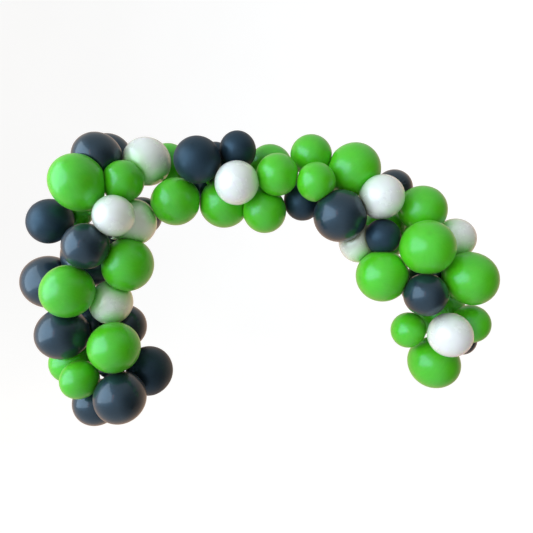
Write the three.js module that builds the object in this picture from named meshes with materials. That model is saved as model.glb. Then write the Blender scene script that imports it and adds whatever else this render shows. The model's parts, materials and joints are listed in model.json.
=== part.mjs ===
// Balloon garland: an arch of round latex balloons, tied neck to neck in
// clusters along one line and hung flat against a wall or a backdrop.
//
// Millimetres. +X is to the right along the wall, +Y goes into the wall and
// +Z is up. The wall is the plane y = 0. The origin is the middle of the flat
// patch where the topmost rear balloon presses on the wall.

import * as THREE from 'three';
import { mergeVertices } from 'three/addons/utils/BufferGeometryUtils.js';

// ---- driving dimensions -------------------------------------------------

const LINE_DEPTH = 215; // from the wall to the line that the clusters are tied on
const CONTACT_GAP = 0.3; // left between two balloons that press on each other
const NECK_LENGTH = 20; // from the end of the round body to the end of the lip
const NECK_ROOM = 12; // from the end of the lip to its cluster's tie
const LIP_RADIUS = 7.5; // rolled lip at the end of the neck
const FULL_TAPER = 1.22; // body length on the neck side, in half widths
const SHORT_REACH = 1.03; // least distance from centre to lip end, in half widths
const TAPER_POWER = 4; // how late the round body starts to draw out to its neck
const WALL_PRESS = 0.07; // how far a wall balloon is pressed flat, in half widths

// The facets of one balloon: rings at these angles from the crown, in degrees.
// The first ring is small enough to lie in a flat patch, and the 90 degree
// ring is the widest part.
const RING_ANGLES = [16, 40, 65, 90, 116, 145];
const SEGMENTS = 12;

// ---- colours ------------------------------------------------------------

const FINISHES = {
  green: { color: 0x48b92d, roughness: 0.3, metalness: 0 },
  black: { color: 0x233241, roughness: 0.32, metalness: 0 },
  white: { color: 0xe8f2f1, roughness: 0.25, metalness: 0.1 },
};

// ---- the balloons -------------------------------------------------------

// The clusters along the line. "tie" is [x, z] of the point on the line where
// the necks of a cluster come together. A row holds the balloon's place in its
// cluster, its colour, its width, and its centre [x, y, z]. "outer" and "inner"
// are away from and towards the arch's opening. A balloon named "wall" has no
// y, because its own width says how far off the wall its centre is.
const CLUSTERS = {
  left_foot: {
    tie: [-755, -1020],
    balloons: [
      ['outer', 'black', 220, [-815, -155, -1115]],
      ['front', 'black', 225, [-655, -315, -1050]],
      ['inner', 'black', 230, [-585, -120, -980]],
      ['back', 'black', 150, [-740, -165, -945]],
      ['front', 'green', 165, [-835, -305, -975]],
    ],
  },
  left_shin: {
    tie: [-800, -825],
    balloons: [
      ['outer', 'green', 190, [-930, -175, -925]],
      ['outer', 'black', 225, [-915, -295, -775]],
      ['front', 'green', 215, [-670, -335, -830]],
      ['wall', 'black', 215, [-705, null, -770]],
      ['back', 'black', 190, [-865, -95, -750]],
    ],
  },
  left_knee: {
    tie: [-825, -630],
    balloons: [
      ['inner', 'white', 200, [-720, -250, -640]],
      ['front', 'green', 220, [-855, -375, -585]],
      ['outer', 'black', 240, [-1045, -155, -550]],
    ],
  },
  left_thigh: {
    tie: [-820, -435],
    balloons: [
      ['inner', 'green', 235, [-640, -275, -470]],
      ['front', 'black', 190, [-770, -400, -395]],
      ['outer', 'black', 200, [-965, -290, -285]],
      ['back', 'black', 290, [-840, -140, -430]],
      ['inner', 'white', 205, [-615, -250, -280]],
    ],
  },
  left_hip: {
    tie: [-790, -245],
    balloons: [
      ['front', 'white', 170, [-650, -410, -270]],
      ['back', 'black', 180, [-615, -90, -235]],
      ['outer', 'green', 160, [-925, -150, -215]],
      ['front', 'green', 225, [-805, -405, -125]],
    ],
  },
  left_shoulder: {
    tie: [-740, -150],
    balloons: [
      ['front', 'green', 175, [-635, -330, -110]],
      ['front', 'black', 215, [-760, -300, 0]],
      ['wall', 'black', 225, [-780, null, 50]],
      ['inner', 'white', 215, [-560, -235, -5]],
    ],
  },
  top_left: {
    tie: [-500, -60],
    balloons: [
      ['upper', 'green', 195, [-490, -95, 15]],
      ['lower', 'green', 225, [-430, -240, -180]],
      ['back', 'black', 175, [-340, -90, -75]],
    ],
  },
  top_left_of_middle: {
    tie: [-300, -75],
    balloons: [
      ['front', 'black', 205, [-315, -330, -20]],
      ['upper', 'black', 160, [-255, -175, 20]],
      ['lower', 'green', 230, [-215, -185, -185]],
    ],
  },
  top_middle: {
    tie: [-100, -50],
    balloons: [
      ['upper', 'black', 160, [-145, -280, 40]],
      ['front', 'white', 185, [-145, -360, -125]],
      ['lower', 'green', 195, [-25, -225, -230]],
      ['wall', 'green', 220, [0, null, 0]],
    ],
  },
  top_right_of_middle: {
    tie: [95, -55],
    balloons: [
      ['front', 'green', 185, [30, -315, -80]],
      ['lower', 'black', 165, [150, -190, -185]],
      ['upper', 'green', 195, [185, -215, 25]],
    ],
  },
  top_right: {
    tie: [260, -160],
    balloons: [
      ['front', 'green', 165, [195, -340, -115]],
      ['upper', 'green', 235, [380, -240, -40]],
    ],
  },
  right_shoulder: {
    tie: [445, -225],
    balloons: [
      ['inner', 'black', 225, [300, -320, -260]],
      ['front', 'white', 190, [480, -340, -180]],
      ['wall', 'black', 180, [600, null, -100]],
    ],
  },
  right_hip: {
    tie: [610, -330],
    balloons: [
      ['front', 'black', 155, [490, -310, -350]],
      ['outer', 'green', 220, [675, -265, -230]],
      ['back', 'green', 250, [545, -115, -325]],
      ['inner', 'white', 180, [405, -230, -370]],
    ],
  },
  right_thigh: {
    tie: [710, -495],
    balloons: [
      ['front', 'green', 225, [655, -395, -400]],
      ['outer', 'white', 180, [830, -250, -355]],
      ['inner', 'green', 225, [490, -300, -520]],
    ],
  },
  right_knee: {
    tie: [765, -685],
    balloons: [
      ['back', 'black', 230, [720, -200, -575]],
      ['outer', 'green', 230, [850, -350, -535]],
      ['front', 'black', 180, [655, -375, -600]],
      ['wall', 'green', 240, [820, null, -705]],
    ],
  },
  right_foot: {
    tie: [780, -880],
    balloons: [
      ['inner', 'green', 160, [630, -235, -770]],
      ['outer', 'green', 165, [895, -265, -735]],
      ['front', 'white', 180, [750, -395, -765]],
      ['lower', 'green', 240, [760, -190, -920]],
      ['back', 'black', 155, [900, -130, -825]],
    ],
  },
};

// ---- from the table to placed balloons ----------------------------------

// A balloon's centre, radius, the way from its neck to its crown, and how far
// the end of its lip is from its centre. A neck that has not enough room for
// its full length is pushed back into the body.
function placeBalloon(tie, [place, colour, width, [x, y, z]]) {
  const radius = width / 2;
  const onWall = place === 'wall';
  const centre = new THREE.Vector3(x, onWall ? radius * (WALL_PRESS - 1) : y, z);
  const neckEnd = onWall ? new THREE.Vector3(x, -LINE_DEPTH, z) : tie;
  const towardsCrown = centre.clone().sub(neckEnd);
  const room = towardsCrown.length() - NECK_ROOM;
  const reach = Math.min(radius * FULL_TAPER + NECK_LENGTH, room);
  return {
    colour,
    centre,
    radius,
    crown: towardsCrown.normalize(),
    reach: Math.max(reach, radius * SHORT_REACH),
  };
}

// ---- the shape of one balloon -------------------------------------------

// Distance from the centre to the skin, at an angle from the crown: a sphere
// that draws out towards the neck.
function skinDistance(balloon, angle) {
  const taper = (balloon.reach - NECK_LENGTH) / balloon.radius - 1;
  const towardsNeck = (1 - Math.cos(angle)) / 2;
  return balloon.radius * (1 + taper * towardsNeck ** TAPER_POWER);
}

// Turned solid with its centre at 0, its crown on +Y and its neck on -Y.
function balloonGeometry(balloon) {
  const profile = RING_ANGLES.map((degrees) => {
    const angle = THREE.MathUtils.degToRad(degrees);
    const distance = skinDistance(balloon, angle);
    return new THREE.Vector2(distance * Math.sin(angle), distance * Math.cos(angle));
  });
  profile.unshift(new THREE.Vector2(0, skinDistance(balloon, 0)));
  profile.push(new THREE.Vector2(LIP_RADIUS, -balloon.reach));
  profile.push(new THREE.Vector2(0, -balloon.reach));
  const geometry = new THREE.LatheGeometry(profile.reverse(), SEGMENTS);
  geometry.deleteAttribute('normal');
  geometry.deleteAttribute('uv');
  return mergeVertices(geometry);
}

// ---- how the balloons press on each other -------------------------------

// The flat that a balloon and its neighbour share: the plane where their round
// bodies cross, less half of the gap. Its distance is from this centre.
function contactPlane(balloon, neighbour) {
  const normal = neighbour.centre.clone().sub(balloon.centre);
  const between = normal.length();
  const crossing = (between ** 2 + balloon.radius ** 2 - neighbour.radius ** 2) / (2 * between);
  return { normal: normal.normalize(), distance: crossing - CONTACT_GAP / 2 };
}

function wallPlane(balloon) {
  return { normal: new THREE.Vector3(0, 1, 0), distance: -balloon.centre.y };
}

// Moves each vertex that is past a plane straight back towards the centre
// until it lies on that plane.
function pressFlat(geometry, planes) {
  const position = geometry.getAttribute('position');
  const point = new THREE.Vector3();
  for (let i = 0; i < position.count; i++) {
    point.fromBufferAttribute(position, i);
    const shares = planes.map(({ normal, distance }) => distance / Math.max(point.dot(normal), distance));
    point.multiplyScalar(Math.min(1, ...shares));
    position.setXYZ(i, point.x, point.y, point.z);
  }
}

// ---- assembly -----------------------------------------------------------

function buildMesh(name, balloon, balloons, tie) {
  const mesh = new THREE.Mesh(
    balloonGeometry(balloon),
    new THREE.MeshStandardMaterial(FINISHES[balloon.colour]),
  );
  mesh.name = name;
  mesh.quaternion.setFromUnitVectors(new THREE.Vector3(0, 1, 0), balloon.crown);
  const toMesh = mesh.quaternion.clone().invert();
  const planes = balloons
    .filter((other) => other !== balloon)
    .map((other) => contactPlane(balloon, other))
    .concat(wallPlane(balloon));
  for (const plane of planes) {
    plane.normal.applyQuaternion(toMesh);
  }
  pressFlat(mesh.geometry, planes);
  mesh.position.copy(balloon.centre).sub(tie);
  return mesh;
}

function buildGarland() {
  const clusters = Object.entries(CLUSTERS).map(([name, { tie: [x, z], balloons }]) => {
    const tie = new THREE.Vector3(x, -LINE_DEPTH, z);
    return { name, tie, rows: balloons, placed: balloons.map((row) => placeBalloon(tie, row)) };
  });
  const all = clusters.flatMap(({ placed }) => placed);
  const garland = new THREE.Group();
  for (const { name, tie, rows, placed } of clusters) {
    const group = new THREE.Group();
    group.position.copy(tie);
    rows.forEach(([place, colour], k) => {
      group.add(buildMesh(`${name}_${place}_${colour}_balloon`, placed[k], all, tie));
    });
    garland.add(group);
  }
  return garland;
}

export default buildGarland();
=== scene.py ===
"""Looks of the balloon garland: a smooth latex skin for each balloon, built around its CAD solid.

Metres, in the CAD frame: +X to the right along the wall, +Y into the wall, +Z up. The wall is y = 0.
"""

import json
import math
import random

import bmesh
import bpy
import numpy as np
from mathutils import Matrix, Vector, noise


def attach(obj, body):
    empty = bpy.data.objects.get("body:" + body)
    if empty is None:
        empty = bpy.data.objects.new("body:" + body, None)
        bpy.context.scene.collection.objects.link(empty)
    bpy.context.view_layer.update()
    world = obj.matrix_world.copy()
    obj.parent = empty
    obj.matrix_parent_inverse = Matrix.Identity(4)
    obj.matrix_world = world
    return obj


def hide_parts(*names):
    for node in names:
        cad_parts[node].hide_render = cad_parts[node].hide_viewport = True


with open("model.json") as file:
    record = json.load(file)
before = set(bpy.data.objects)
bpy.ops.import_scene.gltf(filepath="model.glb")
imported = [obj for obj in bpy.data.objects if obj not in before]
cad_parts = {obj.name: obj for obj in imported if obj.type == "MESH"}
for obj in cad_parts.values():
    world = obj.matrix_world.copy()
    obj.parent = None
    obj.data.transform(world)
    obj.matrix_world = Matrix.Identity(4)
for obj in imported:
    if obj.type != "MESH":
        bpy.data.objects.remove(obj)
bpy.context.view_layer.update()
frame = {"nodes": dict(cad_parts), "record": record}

# ---- the CAD balloons' own rules, in metres ---------------------------------------------------

NECK_LENGTH = 0.020  # end of the round body to the end of the lip
TAPER_POWER = 4  # how late the round body starts to draw out to its neck
WIDEST_RING = 4  # rings from the crown to the 90 degree ring
CONTACT_GAP = 0.0003  # between two balloons that press on each other

# ---- the fine skin ----------------------------------------------------------------------------

SEGMENTS = 80  # round the balloon
BODY_RINGS = 60  # from the crown to the start of the neck
BODY_END = math.radians(168)  # the last body ring's angle from the crown
PRESS_ROUNDING = 0.07  # width of the soft edge round a contact flat, in radii
UNEVENNESS = 0.006  # how far a skin strays from its pure form, in radii
UNEVENNESS_FREQUENCY = 1.1  # of the noise that it strays by
CROWN_NUB = 0.0009  # height of the thick latex at the crown
CROWN_NUB_WIDTH = 0.085  # its half width, in radians
PLEATS = 11  # folds where the skin gathers into the neck
BODY_PLEAT = 0.012  # their height at the end of the body, in radii of the balloon
BODY_PLEAT_START = 0.88  # where they start, as a share of the body's angle
NECK_PLEAT = 0.08  # their height on the neck, in radii of the neck
PAINTED_LIGHT_REACH = 0.036  # over which the painted light and shade of a neighbour fades in a pearl skin
SEED = 11  # of the draws that make each balloon differ
MOST_DRAWN = 100  # a draw goes from 0 to this, and a balloon's tone from 0 to 1

# Matt skins among the black balloons. The others are glossy.
MATT_BALLOONS = (
    "top_left_of_middle_front_black_balloon", "top_left_of_middle_upper_black_balloon",
    "top_middle_upper_black_balloon", "top_right_of_middle_lower_black_balloon",
    "right_hip_front_black_balloon", "left_thigh_outer_black_balloon",
    "left_foot_inner_black_balloon",
)

# The neck below the body: [radius, distance past the end of the body]. It is gathered to a
# throat, then comes the knot, then the flared tail with its rolled lip, closed inside.
NECK_PROFILE = [
    (0.0125, -0.0010), (0.0062, 0.0030), (0.0072, 0.0050), (0.0088, 0.0078), (0.0086, 0.0100),
    (0.0058, 0.0125), (0.0056, 0.0140), (0.0074, 0.0170), (0.0088, 0.0186), (0.0090, 0.0196),
    (0.0082, 0.0200), (0.0066, 0.0192), (0.0040, 0.0170),
]
PLEATED_NECK_RINGS = 2

MERGE_DISTANCE = 1e-5  # between vertices that are one

# ---- places, sizes and brightness of the camera, the floor and the light ----------------------

CAMERA_TO_WALL = 2.275
CAMERA_PLACE = (-0.017, -0.480)  # across and up from the origin
CAMERA_LENS = 30.4  # millimetres
SENSOR_WIDTH = 36  # millimetres
EYE_HEIGHT = 1.7  # camera to floor

FLOOR_FLAT = 4.5  # radius of its level part
FLOOR_BEND = 2.5  # radius of its curve up into the wall
FLOOR_WALL = 8.0  # height of the wall above the curve
FLOOR_BEND_STEPS = 12
FLOOR_TURN_STEPS = 96
FLOOR_GREYS = ((0.30, 0.30, 0.30, 1), (0.28, 0.28, 0.28, 1))
FLOOR_GLOW = 0.82  # its own light, which keeps it pale

WINDOWS_PLACE = (-3.0, -4.2, 0.35)
WINDOWS_AIM = (0, -4.2, 0.35)
WINDOWS_SIZE = (7.4, 3.9)
WINDOWS_RADIANCE = 3.15
WINDOWS_COLOUR = (0.70, 0.87, 1.0)

LAMPS = 4
LAMP_PLACE = (-2.4, -8.2)  # across and out from the origin
LOWEST_LAMP = -1.0
LAMP_STEP = 1.2  # from one lamp up to the next
LAMP_AIM = (0, 0, -0.5)
LAMP_SIZE = (0.3, 0.45)
LAMP_RADIANCE = 9
LAMP_COLOUR = (1.0, 0.45, 0.38)

ROOM_FRONT = (0.66, 0.69, 0.71, 1)
ROOM_RIGHT = (0.10, 0.07, 0.04, 1)
ROOM_BEHIND = (0.85, 0.58, 0.42, 1)
ROOM_ABOVE = (0.58, 0.60, 0.58, 1)


# ---- reading the balloons from the frame ------------------------------------------------------

def ring_depths(bm, pole):
    """How many edges each vertex is from the pole, which is its ring's number."""
    depths = {pole: 0}
    front = [pole]
    while front:
        beyond = []
        for vertex in front:
            for edge in vertex.link_edges:
                other = edge.other_vert(vertex)
                if other not in depths:
                    depths[other] = depths[vertex] + 1
                    beyond.append(other)
        front = beyond
    return depths


def in_order(ring):
    """The vertices of a ring, one after the other."""
    members = set(ring)
    ordered = [ring[0]]
    while len(ordered) < len(ring):
        near = [e.other_vert(ordered[-1]) for e in ordered[-1].link_edges]
        ordered.append(next(v for v in near if v in members and v not in ordered))
    return ordered


def middle_of_diameters(ring):
    """The point nearest to all lines that join opposite vertices of a ring."""
    half = len(ring) // 2
    total = np.zeros((3, 3))
    pull = np.zeros(3)
    for a, b in zip(ring[:half], ring[half:]):
        along = np.array((b.co - a.co).normalized())
        across = np.eye(3) - np.outer(along, along)
        total += across
        pull += across @ np.array(a.co)
    return Vector(np.linalg.lstsq(total, pull, rcond=None)[0])


def read_balloon(name, node):
    """Centre, radius, crown direction and reach of a balloon, from the facets of its CAD solid.

    A contact flat moves vertices straight towards the centre, so each still lies on its own ray
    and opposite ones still have the centre between them. The lip is the smaller of the two fans
    of facets, and the crown is the larger one.
    """
    bm = bmesh.new()
    bm.from_mesh(node.data)
    bmesh.ops.remove_doubles(bm, verts=bm.verts, dist=MERGE_DISTANCE)
    most_edges = max(len(v.link_edges) for v in bm.verts)
    fans = [v for v in bm.verts if len(v.link_edges) == most_edges]
    fans.sort(key=lambda v: sum(e.calc_length() for e in v.link_edges))
    lip, crown = fans[0], fans[-1]
    depths = ring_depths(bm, crown)
    widest = in_order([v for v, depth in depths.items() if depth == WIDEST_RING])
    centre = middle_of_diameters(widest)
    reach = (lip.co - centre).length
    girth = max((v.co - centre).length for v in widest)
    taper_share = 0.5 ** TAPER_POWER
    balloon = {
        "name": name,
        "colour": name.split("_")[-2],
        "centre": centre,
        "crown": (crown.co - centre).normalized(),
        "reach": reach,
        "radius": (girth - (reach - NECK_LENGTH) * taper_share) / (1 - taper_share),
    }
    bm.free()
    return balloon


def wall_plane():
    """A point on the wall and the way into it, from the mount that holds the garland."""
    held_by = frame["record"]["physics"]["held_by_mount"]
    mount = next(m for m in frame["record"]["mounts"] if m["name"] == held_by)
    return Vector(mount["pos_m"]), Vector(mount["axis"])


# ---- how balloons press on each other ---------------------------------------------------------

def contact_planes(balloon, balloons, wall):
    """[normal, distance from this centre] of each flat that a balloon may press on."""
    point, into = wall
    planes = [(into, (point - balloon["centre"]).dot(into))]
    for other in balloons:
        if other is balloon:
            continue
        way = other["centre"] - balloon["centre"]
        between = way.length
        crossing = (between ** 2 + balloon["radius"] ** 2 - other["radius"] ** 2) / (2 * between)
        if crossing < balloon["reach"]:
            planes.append((way / between, crossing - CONTACT_GAP / 2))
    return planes


def soft_min(a, b, width):
    """The lesser of a and b, with a rounded change from one to the other."""
    mix = np.clip(0.5 + 0.5 * (b - a) / width, 0, 1)
    return b + (a - b) * mix - width * mix * (1 - mix)


def pressed(points, planes, width):
    """The points, drawn straight towards the centre until none is past a plane. A width above 0
    rounds the edges of the flats."""
    least_lean, no_limit = 1e-3, 10.0
    length = np.linalg.norm(points, axis=1)
    ways = points / length[:, None]
    kept = length.copy()
    for normal, distance in planes:
        lean = ways @ np.array(normal)
        limit = np.where(lean > least_lean, distance / np.maximum(lean, least_lean), no_limit)
        kept = soft_min(kept, limit, width) if width else np.minimum(kept, limit)
    return ways * kept[:, None]


# ---- the mesh of one skin ---------------------------------------------------------------------

def skin_length(balloon, angle):
    """Distance from the centre to the skin at an angle from the crown."""
    taper = (balloon["reach"] - NECK_LENGTH) / balloon["radius"] - 1
    towards_neck = (1 - math.cos(angle)) / 2
    return balloon["radius"] * (1 + taper * towards_neck ** TAPER_POWER)


def body_points(balloon, seed):
    """The round body with its crown at +Z: the crown point, then ring after ring."""
    points = []
    for i in range(BODY_RINGS + 1):
        angle = BODY_END * i / BODY_RINGS
        length = skin_length(balloon, angle)
        length += CROWN_NUB * math.exp(-((angle / CROWN_NUB_WIDTH) ** 2))
        for k in range(SEGMENTS if i else 1):
            turn = 2 * math.pi * k / SEGMENTS
            way = Vector((
                math.sin(angle) * math.cos(turn), math.sin(angle) * math.sin(turn), math.cos(angle),
            ))
            stray = noise.noise(way * UNEVENNESS_FREQUENCY + Vector((seed, 0, 0)))
            gathered = max(0.0, (angle / BODY_END - BODY_PLEAT_START) / (1 - BODY_PLEAT_START))
            pleat = BODY_PLEAT * gathered ** 2 * math.cos(PLEATS * turn + seed)
            points.append(way * (length + balloon["radius"] * (UNEVENNESS * stray + pleat)))
    return np.array(points)


def neck_points(balloon, seed):
    """Rings from the end of the body to inside the lip, and the point that closes it."""
    body_end = -(balloon["reach"] - NECK_LENGTH)
    points = []
    for i, (radius, past) in enumerate(NECK_PROFILE):
        pleat = NECK_PLEAT if i < PLEATED_NECK_RINGS else 0
        for k in range(SEGMENTS):
            turn = 2 * math.pi * k / SEGMENTS
            wide = radius * (1 + pleat * math.cos(PLEATS * turn + seed))
            points.append((wide * math.cos(turn), wide * math.sin(turn), body_end - past))
    points.append((0, 0, body_end - NECK_PROFILE[-1][1]))
    return np.array(points)


def skin_faces(rings):
    """Faces between a crown point, rings of vertices and an end point."""
    faces = []
    for k in range(SEGMENTS):
        after = (k + 1) % SEGMENTS
        faces.append((0, 1 + k, 1 + after))
        for i in range(rings - 1):
            here = 1 + i * SEGMENTS
            there = here + SEGMENTS
            faces.append((here + k, there + k, there + after, here + after))
        last = 1 + (rings - 1) * SEGMENTS
        faces.append((last + k, rings * SEGMENTS + 1, last + after))
    return faces


def painted_neighbour_light(points, balloon, balloons, colour):
    """How much painted light and shade from its neighbours of one colour each point of a thin pale
    skin gets, as if seen through the skin and bounced onto it. It fades with the distance to the
    neighbour."""
    share = np.zeros(len(points))
    for other in balloons:
        if other is balloon or other["colour"] != colour:
            continue
        middle = np.array(other["centre"] - balloon["centre"])
        gap = np.linalg.norm(points - middle, axis=1) - other["radius"]
        share = np.maximum(share, np.exp(-np.maximum(gap, 0) / PAINTED_LIGHT_REACH))
    return share


def add_values(mesh, name, values):
    """Stores a number at each point of the mesh."""
    made = mesh.attributes.new(name, "FLOAT", "POINT")
    made.data.foreach_set("value", values.astype(np.float32))


def build_skin(balloon, balloons, wall, seed, material):
    """The balloon's skin. Its mesh carries the balloon's own coordinates, crown on +Z, as
    "place", and, on a pearl skin, the shares of painted light and shade from its neighbours."""
    turn = np.array(balloon["crown"].to_track_quat("Z", "Y").to_matrix())
    body = body_points(balloon, seed)
    neck = neck_points(balloon, seed)
    own = np.concatenate([body, neck])
    planes = contact_planes(balloon, balloons, wall)
    points = np.concatenate([
        pressed(body @ turn.T, planes, balloon["radius"] * PRESS_ROUNDING),
        pressed(neck @ turn.T, planes, 0),
    ])
    mesh = bpy.data.meshes.new(balloon["name"] + "_skin")
    mesh.from_pydata(points.tolist(), [], skin_faces(BODY_RINGS + len(NECK_PROFILE)))
    mesh.shade_smooth()
    place = mesh.attributes.new("place", "FLOAT_VECTOR", "POINT")
    place.data.foreach_set("vector", own.astype(np.float32).ravel())
    # A pearl skin gets painted light and shade from its neighbours: painted green light and shade
    # near green ones, painted dark shade near black ones.
    if balloon["colour"] == "white":
        add_values(mesh, "painted_green_light_and_shade", painted_neighbour_light(points, balloon, balloons, "green"))
        add_values(mesh, "painted_dark_shade", painted_neighbour_light(points, balloon, balloons, "black"))
    mesh.materials.append(material)
    skin = bpy.data.objects.new(balloon["name"] + "_skin", mesh)
    bpy.context.scene.collection.objects.link(skin)
    skin.location = balloon["centre"]
    skin["tone"] = seed / MOST_DRAWN
    skin["matt"] = 1.0 if balloon["name"] in MATT_BALLOONS else 0.0
    return skin


# ---- materials --------------------------------------------------------------------------------

def new_material(name):
    material = bpy.data.materials.new(name)
    material.use_nodes = True
    return material, material.node_tree, material.node_tree.nodes["Principled BSDF"]


def add_node(tree, kind, inputs=None, **settings):
    """A node with its settings and its inputs: values, or sockets to link from."""
    node = tree.nodes.new(kind)
    for key, value in settings.items():
        setattr(node, key, value)
    for key, value in (inputs or {}).items():
        if isinstance(value, bpy.types.NodeSocket):
            tree.links.new(value, node.inputs[key])
        else:
            node.inputs[key].default_value = value
    return node


def noise_of(tree, vector, scale, detail=2.0, roughness=0.5):
    """Cloudy noise, mostly between 0.3 and 0.7."""
    inputs = {"Vector": vector, "Scale": scale, "Detail": detail, "Roughness": roughness}
    return add_node(tree, "ShaderNodeTexNoise", inputs).outputs["Fac"]


def mapped(tree, value, low, high, to_low=0.0, to_high=1.0):
    """The value, carried over from one range to another and kept within it."""
    inputs = {"Value": value, "From Min": low, "From Max": high, "To Min": to_low, "To Max": to_high}
    return add_node(tree, "ShaderNodeMapRange", inputs, clamp=True).outputs["Result"]


def mixed(tree, share, a, b):
    """Colour a where share is 0 and colour b where it is 1."""
    node = add_node(tree, "ShaderNodeMix", data_type="RGBA")
    # A mix node has its colours at inputs 6 and 7 and at output 2.
    for socket, value in ((node.inputs[0], share), (node.inputs[6], a), (node.inputs[7], b)):
        if isinstance(value, bpy.types.NodeSocket):
            tree.links.new(value, socket)
        else:
            socket.default_value = value
    return node.outputs[2]


def maths(tree, operation, a, b=0.0):
    return add_node(tree, "ShaderNodeMath", {0: a, 1: b}, operation=operation).outputs[0]


def own_value(tree, name):
    """A number that each balloon carries as a whole."""
    node = add_node(tree, "ShaderNodeAttribute", attribute_type="OBJECT", attribute_name=name)
    return node.outputs["Fac"]


def mesh_value(tree, name):
    """A number that each point of a skin carries."""
    return add_node(tree, "ShaderNodeAttribute", attribute_name=name).outputs["Fac"]


def balloon_coordinates(tree):
    """The balloon's own coordinates moved by its tone, so that no two look alike, and the
    direction from its centre: +Z at the crown, -Z at the neck."""
    place = add_node(tree, "ShaderNodeAttribute", attribute_name="place").outputs["Vector"]
    tone = own_value(tree, "tone")
    shift = add_node(tree, "ShaderNodeCombineXYZ", {"X": tone, "Y": tone}).outputs[0]
    moved = add_node(tree, "ShaderNodeVectorMath", {0: place, 1: shift}, operation="ADD").outputs[0]
    way = add_node(tree, "ShaderNodeVectorMath", {0: place}, operation="NORMALIZE").outputs[0]
    return moved, way


def streaks(tree, way):
    """Fine lines that run from the crown to the neck, as stretched latex has."""
    flat = add_node(
        tree, "ShaderNodeVectorMath", {0: way, 1: (1, 1, 0)}, operation="MULTIPLY"
    ).outputs[0]
    round_it = add_node(tree, "ShaderNodeVectorMath", {0: flat}, operation="NORMALIZE").outputs[0]
    along = add_node(
        tree, "ShaderNodeVectorMath", {0: way, 1: (0, 0, 0.12)}, operation="MULTIPLY"
    ).outputs[0]
    both = add_node(tree, "ShaderNodeVectorMath", {0: round_it, 1: along}, operation="ADD").outputs[0]
    return mapped(tree, noise_of(tree, both, 24.0, 3.0, 0.6), 0.40, 0.75, 0.0, 0.22)


def thickness(tree, place, way, lines):
    """How thick the skin is, from 0 to 1: most at the crown and the neck, uneven between them,
    and a little different for each balloon."""
    height = add_node(tree, "ShaderNodeSeparateXYZ", {0: way}).outputs["Z"]
    crown = mapped(tree, height, 0.985, 0.9995, 0.0, 0.45)
    neck = mapped(tree, height, -0.80, -0.985, 0.0, 0.9)
    clouds = mapped(tree, noise_of(tree, place, 9.0, 3.0), 0.35, 0.65, 0.0, 0.25)
    own = mapped(tree, own_value(tree, "tone"), 0.0, 1.0, 0.0, 0.18)
    ends = maths(tree, "MAXIMUM", crown, neck)
    uneven = maths(tree, "ADD", clouds, lines)
    return maths(tree, "ADD", maths(tree, "MAXIMUM", ends, uneven), own)


def powder(tree, place):
    """How much dust lies on the skin: small specks and a faint haze."""
    specks = mapped(tree, noise_of(tree, place, 420.0, 1.0), 0.70, 0.78, 0.0, 0.25)
    haze = mapped(tree, noise_of(tree, place, 26.0, 5.0, 0.62), 0.50, 0.85, 0.0, 0.08)
    return maths(tree, "MAXIMUM", specks, haze)


def smeared_gloss(tree, place, glossy, matt):
    """The roughness of a glossy or a matt balloon, uneven where it was handled."""
    base = mapped(tree, own_value(tree, "matt"), 0.0, 1.0, glossy, matt)
    smears = mapped(tree, noise_of(tree, place, 14.0, 4.0, 0.6), 0.3, 0.7, 0.82, 1.22)
    return maths(tree, "MULTIPLY", base, smears)


def fine_relief(tree, place, lines):
    """The normal of a skin with a soft swell, ribs along its streaks and a fine grain."""
    grain = maths(tree, "MULTIPLY", noise_of(tree, place, 900.0, 2.0), 0.03)
    ribs = maths(tree, "MULTIPLY", lines, 0.5)
    swell = maths(tree, "ADD", noise_of(tree, place, 30.0, 2.0), ribs)
    height = maths(tree, "ADD", grain, swell)
    inputs = {"Strength": 0.12, "Distance": 0.0006, "Height": height}
    return add_node(tree, "ShaderNodeBump", inputs).outputs["Normal"]


def latex(name, thin, thick, dust, gloss, painted_neighbours=None):
    """A stretched latex skin: its colour where it is thin and where it stays thick, and the
    colour of the dust on it.

    gloss is [roughness of a glossy balloon, roughness of a matt one], and the last argument
    holds the painted light and shade from neighbours: {number on the mesh: (most of it, colour)}."""
    material, tree, shader = new_material(name)
    place, way = balloon_coordinates(tree)
    lines = streaks(tree, way)
    colour = mixed(tree, thickness(tree, place, way, lines), thin, thick)
    # Painted light and shade from neighbours, mixed into the skin's own colour.
    for value, (most, painted_tint) in (painted_neighbours or {}).items():
        share = maths(tree, "MULTIPLY", mesh_value(tree, value), most)
        colour = mixed(tree, share, colour, painted_tint)
    colour = mixed(tree, powder(tree, place), colour, dust)
    tree.links.new(colour, shader.inputs["Base Color"])
    tree.links.new(smeared_gloss(tree, place, *gloss), shader.inputs["Roughness"])
    tree.links.new(fine_relief(tree, place, lines), shader.inputs["Normal"])
    return material, shader


def set_values(shader, **values):
    """Sets sockets of the shader, named with _ for a space."""
    for name, value in values.items():
        shader.inputs[name.replace("_", " ")].default_value = value


def green_latex():
    material, shader = latex(
        "green_latex", gloss=(0.34, 0.38), dust=(0.40, 0.72, 0.14, 1),
        thin=(0.100, 0.635, 0.010, 1), thick=(0.078, 0.450, 0.003, 1),
    )
    set_values(
        shader, IOR=1.6, Specular_Tint=(0.42, 0.78, 1.0, 1),
        Coat_Weight=0.35, Coat_Roughness=0.12,
        Subsurface_Weight=0.30, Subsurface_Radius=(0.35, 1.0, 0.2), Subsurface_Scale=0.014,
        Sheen_Weight=0.12, Sheen_Roughness=0.35, Sheen_Tint=(0.65, 1.0, 0.35, 1),
    )
    return material


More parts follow.
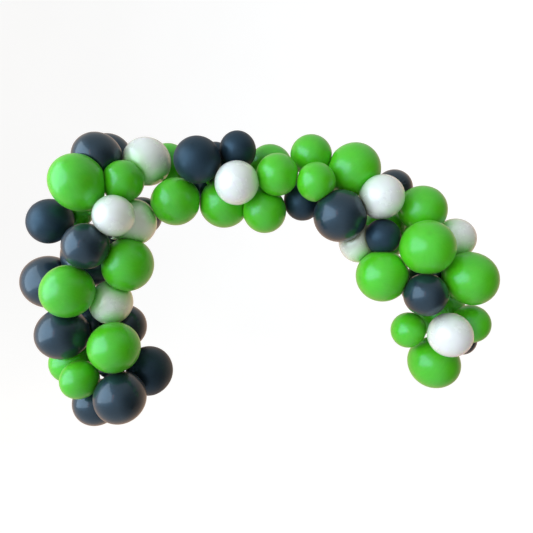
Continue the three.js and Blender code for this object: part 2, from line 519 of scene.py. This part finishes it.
def black_latex():
    material, shader = latex(
        "black_latex", gloss=(0.38, 0.46), dust=(0.06, 0.08, 0.10, 1),
        thin=(0.012, 0.027, 0.042, 1), thick=(0.004, 0.010, 0.014, 1),
    )
    set_values(
        shader, IOR=1.62, Specular_Tint=(0.42, 0.70, 1.0, 1),
        Coat_Roughness=0.07,
        Sheen_Weight=0.06, Sheen_Roughness=0.3, Sheen_Tint=(1.0, 0.72, 0.55, 1),
    )
    tree = material.node_tree
    polish = mapped(tree, own_value(tree, "matt"), 0.0, 1.0, 0.55, 0.0)
    tree.links.new(polish, shader.inputs["Coat Weight"])
    return material


def white_latex():
    material, shader = latex(
        "white_pearl_latex", gloss=(0.25, 0.25), dust=(0.92, 0.94, 0.92, 1),
        thin=(0.95, 0.955, 0.95, 1), thick=(0.90, 0.92, 0.90, 1),
        painted_neighbours={
            # painted green light and shade, as if seen through the skin and bounced from green
            # neighbours
            "painted_green_light_and_shade": (1.0, (0.30, 0.78, 0.18, 1)),
            # painted dark shade near black neighbours
            "painted_dark_shade": (0.90, (0.22, 0.24, 0.12, 1)),
        },
    )
    set_values(
        shader, IOR=1.5, Metallic=0.06,
        Coat_Weight=0.45, Coat_Roughness=0.08,
        Sheen_Weight=0.20, Sheen_Roughness=0.4, Sheen_Tint=(1.0, 1.0, 0.92, 1),
        Subsurface_Weight=0.9, Subsurface_Radius=(0.9, 1.0, 0.85), Subsurface_Scale=0.080,
    )
    return material


# ---- camera, floor and light ------------------------------------------------------------------

def make_camera():
    camera = bpy.data.objects.new("camera", bpy.data.cameras.new("camera"))
    bpy.context.scene.collection.objects.link(camera)
    camera.data.lens = CAMERA_LENS
    camera.data.sensor_width = SENSOR_WIDTH
    camera.location = (CAMERA_PLACE[0], -CAMERA_TO_WALL, CAMERA_PLACE[1])
    camera.rotation_euler = (math.pi / 2, 0, 0)
    bpy.context.scene.camera = camera


def floor_mesh():
    """A round floor that curves up into a wall all round."""
    profile = [(0.0, 0.0), (FLOOR_FLAT, 0.0)]
    for i in range(1, FLOOR_BEND_STEPS + 1):
        turn = math.pi / 2 * i / FLOOR_BEND_STEPS
        profile.append((FLOOR_FLAT + FLOOR_BEND * math.sin(turn), FLOOR_BEND * (1 - math.cos(turn))))
    profile.append((FLOOR_FLAT + FLOOR_BEND, FLOOR_BEND + FLOOR_WALL))
    mesh = bpy.data.meshes.new("floor")
    bm = bmesh.new()
    line = [bm.verts.new((radius, 0, height)) for radius, height in profile]
    edges = [bm.edges.new(pair) for pair in zip(line, line[1:])]
    bmesh.ops.spin(
        bm, geom=line + edges, cent=(0, 0, 0), axis=(0, 0, 1), angle=2 * math.pi,
        steps=FLOOR_TURN_STEPS, use_merge=True,
    )
    bmesh.ops.remove_doubles(bm, verts=bm.verts, dist=MERGE_DISTANCE)
    bm.to_mesh(mesh)
    bm.free()
    mesh.shade_smooth()
    return mesh


def floor_material():
    material, tree, shader = new_material("floor")
    place = add_node(tree, "ShaderNodeTexCoord").outputs["Object"]
    cloud = mapped(tree, noise_of(tree, place, 0.8, 2.0), 0.3, 0.7)
    tree.links.new(mixed(tree, cloud, *FLOOR_GREYS), shader.inputs["Base Color"])
    set_values(shader, Roughness=0.9, Emission_Color=(1, 1, 1, 1), Emission_Strength=FLOOR_GLOW)
    return material


def make_floor():
    """The pale floor. It takes shadows but throws none, and the balloons neither mirror it nor
    take light from it."""
    mesh = floor_mesh()
    mesh.materials.append(floor_material())
    floor = bpy.data.objects.new("floor", mesh)
    bpy.context.scene.collection.objects.link(floor)
    floor.location = (0, 0, CAMERA_PLACE[1] - EYE_HEIGHT)
    floor.visible_glossy = False
    floor.visible_diffuse = False
    floor.visible_shadow = False


def add_panel(name, place, aim, size, radiance, colour):
    """A soft rectangular light of a given brightness, aimed at a point."""
    light = bpy.data.lights.new(name, "AREA")
    light.shape = "RECTANGLE"
    light.size, light.size_y = size
    light.energy = radiance * math.pi * size[0] * size[1]
    light.color = colour
    panel = bpy.data.objects.new(name, light)
    bpy.context.scene.collection.objects.link(panel)
    panel.location = place
    panel.rotation_euler = (Vector(aim) - Vector(place)).to_track_quat("-Z", "Y").to_euler()
    panel.visible_camera = False


def make_room_light():
    """Soft light from all round: cool from the front, dim from the right, warm from behind."""
    world = bpy.data.worlds.new("room")
    bpy.context.scene.world = world
    world.use_nodes = True
    tree = world.node_tree
    tree.nodes.clear()
    way = add_node(tree, "ShaderNodeTexCoord").outputs["Generated"]
    parts = add_node(tree, "ShaderNodeSeparateXYZ", {0: way}).outputs
    room = mixed(tree, mapped(tree, parts["X"], 0.1, 0.75), ROOM_FRONT, ROOM_RIGHT)
    room = mixed(tree, mapped(tree, parts["Y"], -0.1, 0.7), room, ROOM_BEHIND)
    room = mixed(tree, mapped(tree, parts["Z"], 0.2, 0.9), room, ROOM_ABOVE)
    light = add_node(tree, "ShaderNodeBackground", {"Color": room, "Strength": 1.0}).outputs[0]
    add_node(tree, "ShaderNodeOutputWorld", {"Surface": light})


def make_light():
    """A long cool row of windows on the left, small warm lamps past its end, and the room."""
    add_panel("windows", WINDOWS_PLACE, WINDOWS_AIM, WINDOWS_SIZE, WINDOWS_RADIANCE, WINDOWS_COLOUR)
    for i in range(LAMPS):
        place = (*LAMP_PLACE, LOWEST_LAMP + LAMP_STEP * i)
        add_panel("lamp_{}".format(i), place, LAMP_AIM, LAMP_SIZE, LAMP_RADIANCE, LAMP_COLOUR)
    make_room_light()
    bpy.context.scene.view_settings.view_transform = "Standard"


# ---- everything -------------------------------------------------------------------------------

def make_balloons():
    """Replaces each CAD balloon with its skin. The draws follow the names' order."""
    materials = {"green": green_latex(), "black": black_latex(), "white": white_latex()}
    balloons = [read_balloon(name, node) for name, node in sorted(frame["nodes"].items())]
    wall = wall_plane()
    draw = random.Random(SEED)
    for balloon in balloons:
        seed = draw.uniform(0, MOST_DRAWN)
        skin = build_skin(balloon, balloons, wall, seed, materials[balloon["colour"]])
        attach(skin, "root")
        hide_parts(balloon["name"])


make_camera()
make_balloons()
make_floor()
make_light()
